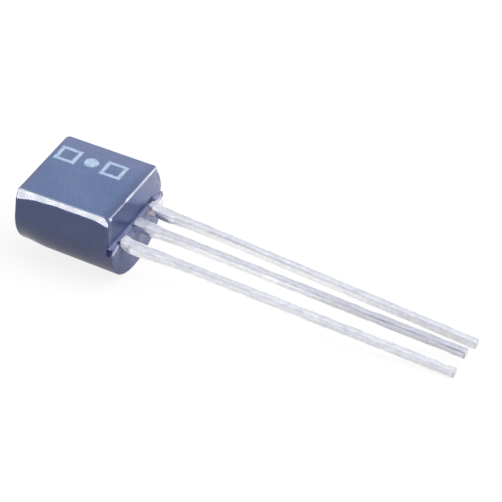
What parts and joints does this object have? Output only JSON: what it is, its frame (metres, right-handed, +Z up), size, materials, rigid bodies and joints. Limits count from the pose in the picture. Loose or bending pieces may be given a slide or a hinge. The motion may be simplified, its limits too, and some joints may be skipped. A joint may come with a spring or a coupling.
{
  "type": "transistor",
  "caption": "Small through-hole transistor: D-shaped moulded case with a flat face, round back and straight tinned leads, lying on its round side.",
  "frame": {"origin": "on the table, under the centre of the part's box", "axes": "+X along the leads from the case to their ends, +Z up, +Y across the leads from the emitter lead to the collector lead"},
  "size_m": [0.0186, 0.0044, 0.0037],
  "materials": {
    "case_epoxy": "moulded epoxy, slate blue, smooth with a soft gloss and a fine grain",
    "lead_tin": "tin plating with a soft sheen and faint streaks along the lead",
    "die_bond": "silver-filled bonding layer, dull",
    "silicon": "polished silicon",
    "bond_wire": "fine drawn gold wire"
  },
  "bodies": {
    "root": {"case": "case_epoxy", "emitter_lead": "lead_tin", "base_lead": "lead_tin", "collector_lead": "lead_tin", "die_attach": "die_bond", "die": "silicon", "base_wire": "bond_wire", "emitter_wire": "bond_wire"}
  },
  "joints": []
}
